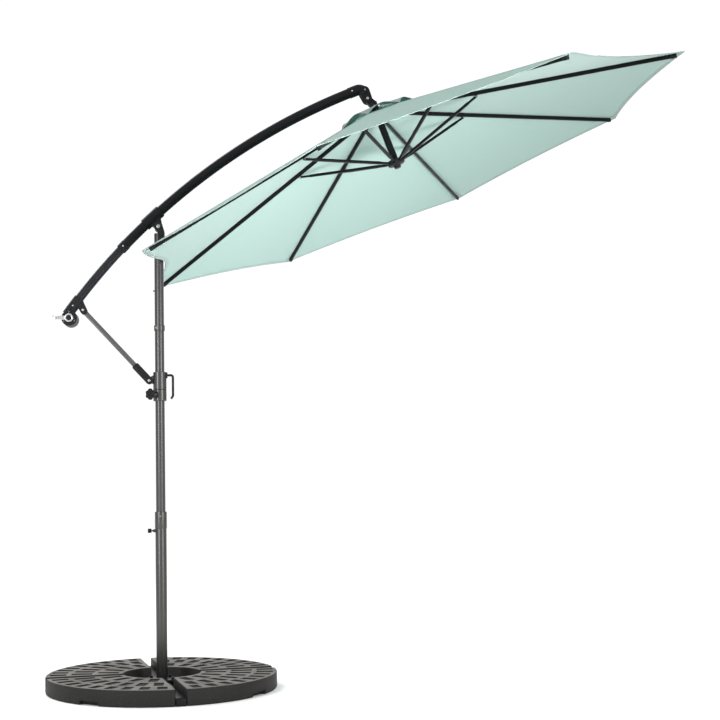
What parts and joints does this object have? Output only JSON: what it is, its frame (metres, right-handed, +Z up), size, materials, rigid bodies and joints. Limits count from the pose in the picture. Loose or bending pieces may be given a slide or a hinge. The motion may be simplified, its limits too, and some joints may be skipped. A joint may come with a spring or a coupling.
{
  "type": "cantilever parasol",
  "caption": "Cantilever parasol: a crank-folded octagonal canopy hung from a curved tilting arm on a swivelling pole, with a sliding clamp and a weighted cross base.",
  "frame": {"origin": "on the floor, on the axis of the pole", "axes": "+Z up along the pole; +X from the pole towards the canopy; the crank is on the -Y side"},
  "size_m": [2.7958, 2.4764, 2.7335],
  "materials": {
    "base_resin": "matte",
    "charcoal_metal": "satin",
    "grey_metal": "satin",
    "bright_metal": "polished",
    "black_casting": "satin",
    "black_plastic": "matte",
    "light_plastic": "satin",
    "frame_alloy": "satin",
    "cloth": "matte"
  },
  "bodies": {
    "base": {"cross_frame": "charcoal_metal", "base_weight_1": "base_resin", "base_weight_2": "base_resin", "base_weight_3": "base_resin", "base_weight_4": "base_resin", "lower_pole": "grey_metal", "lower_collar": "grey_metal"},
    "pole_knob": {"pole_knob": "black_plastic"},
    "spring_button": {"spring_button": "bright_metal"},
    "pole": {"upper_pole": "grey_metal", "pole_collar": "grey_metal", "pole_head": "charcoal_metal", "head_pin": "bright_metal"},
    "arm": {"arm_saddle": "charcoal_metal", "upper_arm_tube": "charcoal_metal", "lower_arm_tube": "grey_metal", "crank_housing": "black_casting", "elbow": "black_casting", "brace_pin": "bright_metal", "elbow_pin": "bright_metal", "pulley_pin": "bright_metal"},
    "pulley": {"elbow_pulley": "black_plastic"},
    "crank": {"crank_spool": "black_plastic", "crank_handle": "bright_metal"},
    "crank_grip": {"crank_grip": "light_plastic"},
    "brace": {"brace_tube": "grey_metal", "brace_socket": "black_plastic", "clamp_pin": "bright_metal"},
    "clamp": {"clamp_sleeve": "grey_metal", "clamp_collar": "grey_metal", "clamp_handle": "charcoal_metal"},
    "clamp_knob": {"clamp_knob": "black_plastic"},
    "canopy_head": {"mast_bracket": "charcoal_metal", "mast_tube": "charcoal_metal", "top_hub": "black_plastic"},
    "rib_1": {"rib_1": "frame_alloy", "canopy_panel_1": "cloth"},
    "strut_1": {"strut_1": "frame_alloy"},
    "rib_2": {"rib_2": "frame_alloy", "canopy_panel_2": "cloth"},
    "strut_2": {"strut_2": "frame_alloy"},
    "rib_3": {"rib_3": "frame_alloy", "canopy_panel_3": "cloth"},
    "strut_3": {"strut_3": "frame_alloy"},
    "rib_4": {"rib_4": "frame_alloy", "canopy_panel_4": "cloth"},
    "strut_4": {"strut_4": "frame_alloy"},
    "rib_5": {"rib_5": "frame_alloy", "canopy_panel_5": "cloth"},
    "strut_5": {"strut_5": "frame_alloy"},
    "rib_6": {"rib_6": "frame_alloy", "canopy_panel_6": "cloth"},
    "strut_6": {"strut_6": "frame_alloy"},
    "rib_7": {"rib_7": "frame_alloy", "canopy_panel_7": "cloth"},
    "strut_7": {"strut_7": "frame_alloy"},
    "rib_8": {"rib_8": "frame_alloy", "canopy_panel_8": "cloth"},
    "strut_8": {"strut_8": "frame_alloy"},
    "runner": {"runner": "black_plastic"}
  },
  "joints": [
    {"name": "pole_swivel", "type": "hinge", "parent": "base", "child": "pole", "pos_m": [0, 0, 0.62], "axis": [0, 0, 1], "continuous": true},
    {"name": "pole_knob_turn", "type": "hinge", "parent": "base", "child": "pole_knob", "pos_m": [-0.025, 0, 0.694], "axis": [-1, 0, 0], "range_deg": [0, 360]},
    {"name": "spring_button_press", "type": "slide", "parent": "pole", "child": "spring_button", "axis": [1, 0, 0], "range_m": [0, 0.005], "stiffness_N_per_m": 300},
    {"name": "arm_tilt", "type": "hinge", "parent": "pole", "child": "arm", "pos_m": [0, 0, 2.07], "axis": [0, -1, 0], "range_deg": [-1.5, 20]},
    {"name": "brace_hinge", "type": "hinge", "parent": "arm", "child": "brace", "pos_m": [-0.344, 0, 1.692], "axis": [0, -1, 0], "range_deg": [-43.06, 3.23]},
    {"name": "clamp_hinge", "type": "hinge", "parent": "brace", "child": "clamp", "pos_m": [-0.0475, 0, 1.3682], "axis": [0, -1, 0], "range_deg": [-1.73, 23.06]},
    {"name": "clamp_knob_turn", "type": "hinge", "parent": "clamp", "child": "clamp_knob", "pos_m": [0, 0, 1.304], "axis": [-0.6691, -0.7431, 0], "range_deg": [0, 360]},
    {"name": "crank_turn", "type": "hinge", "parent": "arm", "child": "crank", "pos_m": [-0.4, 0, 1.6505], "axis": [0, -1, 0], "continuous": true},
    {"name": "crank_grip_spin", "type": "hinge", "parent": "crank", "child": "crank_grip", "pos_m": [-0.466, 0, 1.6505], "axis": [0, -1, 0], "continuous": true},
    {"name": "pulley_turn", "type": "hinge", "parent": "arm", "child": "pulley", "pos_m": [0.9558, 0, 2.7035], "axis": [0, -1, 0], "continuous": true},
    {"name": "canopy_tilt", "type": "hinge", "parent": "arm", "child": "canopy_head", "pos_m": [0.96809, 0, 2.66384], "axis": [0, -1, 0], "range_deg": [0, 35]},
    {"name": "rib_1_fold", "type": "hinge", "parent": "canopy_head", "child": "rib_1", "pos_m": [1.03759, 0.01148, 2.60656], "axis": [-0.3596, 0.9239, -0.1309], "range_deg": [0, 72], "deforming": ["canopy_panel_1"]},
    {"name": "strut_1_hinge", "type": "hinge", "parent": "rib_1", "child": "strut_1", "pos_m": [1.44408, 0.17221, 2.62425], "axis": [-0.3596, 0.9239, -0.1309], "range_deg": [-144, 0]},
    {"name": "runner_hinge", "type": "hinge", "parent": "strut_1", "child": "runner", "pos_m": [1.12131, 0.01148, 2.37652], "axis": [-0.3596, 0.9239, -0.1309], "range_deg": [0, 72]},
    {"name": "rib_2_fold", "type": "hinge", "parent": "canopy_head", "child": "rib_2", "pos_m": [1.02233, 0.02772, 2.60101], "axis": [-0.8682, 0.3827, -0.316], "range_deg": [0, 72], "deforming": ["canopy_panel_2"]},
    {"name": "strut_2_hinge", "type": "hinge", "parent": "rib_2", "child": "strut_2", "pos_m": [1.21523, 0.41575, 2.54096], "axis": [-0.8682, 0.3827, -0.316], "range_deg": [-144, 0]},
    {"name": "rib_3_fold", "type": "hinge", "parent": "canopy_head", "child": "rib_3", "pos_m": [1.00075, 0.02772, 2.59315], "axis": [-0.8682, -0.3827, -0.316], "range_deg": [0, 72], "deforming": ["canopy_panel_3"]},
    {"name": "strut_3_hinge", "type": "hinge", "parent": "rib_3", "child": "strut_3", "pos_m": [0.89158, 0.41575, 2.42316], "axis": [-0.8682, -0.3827, -0.316], "range_deg": [-144, 0]},
    {"name": "rib_4_fold", "type": "hinge", "parent": "canopy_head", "child": "rib_4", "pos_m": [0.9855, 0.01148, 2.5876], "axis": [-0.3596, -0.9239, -0.1309], "range_deg": [0, 72], "deforming": ["canopy_panel_4"]},
    {"name": "strut_4_hinge", "type": "hinge", "parent": "rib_4", "child": "strut_4", "pos_m": [0.66273, 0.17221, 2.33987], "axis": [-0.3596, -0.9239, -0.1309], "range_deg": [-144, 0]},
    {"name": "rib_5_fold", "type": "hinge", "parent": "canopy_head", "child": "rib_5", "pos_m": [0.9855, -0.01148, 2.5876], "axis": [0.3596, -0.9239, 0.1309], "range_deg": [0, 72], "deforming": ["canopy_panel_5"]},
    {"name": "strut_5_hinge", "type": "hinge", "parent": "rib_5", "child": "strut_5", "pos_m": [0.66273, -0.17221, 2.33987], "axis": [0.3596, -0.9239, 0.1309], "range_deg": [-144, 0]},
    {"name": "rib_6_fold", "type": "hinge", "parent": "canopy_head", "child": "rib_6", "pos_m": [1.00075, -0.02772, 2.59315], "axis": [0.8682, -0.3827, 0.316], "range_deg": [0, 72], "deforming": ["canopy_panel_6"]},
    {"name": "strut_6_hinge", "type": "hinge", "parent": "rib_6", "child": "strut_6", "pos_m": [0.89158, -0.41575, 2.42316], "axis": [0.8682, -0.3827, 0.316], "range_deg": [-144, 0]},
    {"name": "rib_7_fold", "type": "hinge", "parent": "canopy_head", "child": "rib_7", "pos_m": [1.02233, -0.02772, 2.60101], "axis": [0.8682, 0.3827, 0.316], "range_deg": [0, 72], "deforming": ["canopy_panel_7"]},
    {"name": "strut_7_hinge", "type": "hinge", "parent": "rib_7", "child": "strut_7", "pos_m": [1.21523, -0.41575, 2.54096], "axis": [0.8682, 0.3827, 0.316], "range_deg": [-144, 0]},
    {"name": "rib_8_fold", "type": "hinge", "parent": "canopy_head", "child": "rib_8", "pos_m": [1.03759, -0.01148, 2.60656], "axis": [0.3596, 0.9239, 0.1309], "range_deg": [0, 72], "deforming": ["canopy_panel_8"]},
    {"name": "strut_8_hinge", "type": "hinge", "parent": "rib_8", "child": "strut_8", "pos_m": [1.44408, -0.17221, 2.62425], "axis": [0.3596, 0.9239, 0.1309], "range_deg": [-144, 0]}
  ],
  "couplings": [
    {"joint": "brace_hinge", "follows": "arm_tilt", "ratio": -2.1528},
    {"joint": "clamp_hinge", "follows": "arm_tilt", "ratio": 1.1528},
    {"joint": "crank_turn", "follows": "rib_1_fold", "ratio": 24},
    {"joint": "pulley_turn", "follows": "rib_1_fold", "ratio": 28.8},
    {"joint": "strut_1_hinge", "follows": "rib_1_fold", "ratio": -2},
    {"joint": "runner_hinge", "follows": "rib_1_fold", "ratio": 1},
    {"joint": "rib_2_fold", "follows": "rib_1_fold", "ratio": 1},
    {"joint": "strut_2_hinge", "follows": "rib_1_fold", "ratio": -2},
    {"joint": "rib_3_fold", "follows": "rib_1_fold", "ratio": 1},
    {"joint": "strut_3_hinge", "follows": "rib_1_fold", "ratio": -2},
    {"joint": "rib_4_fold", "follows": "rib_1_fold", "ratio": 1},
    {"joint": "strut_4_hinge", "follows": "rib_1_fold", "ratio": -2},
    {"joint": "rib_5_fold", "follows": "rib_1_fold", "ratio": 1},
    {"joint": "strut_5_hinge", "follows": "rib_1_fold", "ratio": -2},
    {"joint": "rib_6_fold", "follows": "rib_1_fold", "ratio": 1},
    {"joint": "strut_6_hinge", "follows": "rib_1_fold", "ratio": -2},
    {"joint": "rib_7_fold", "follows": "rib_1_fold", "ratio": 1},
    {"joint": "strut_7_hinge", "follows": "rib_1_fold", "ratio": -2},
    {"joint": "rib_8_fold", "follows": "rib_1_fold", "ratio": 1},
    {"joint": "strut_8_hinge", "follows": "rib_1_fold", "ratio": -2}
  ]
}
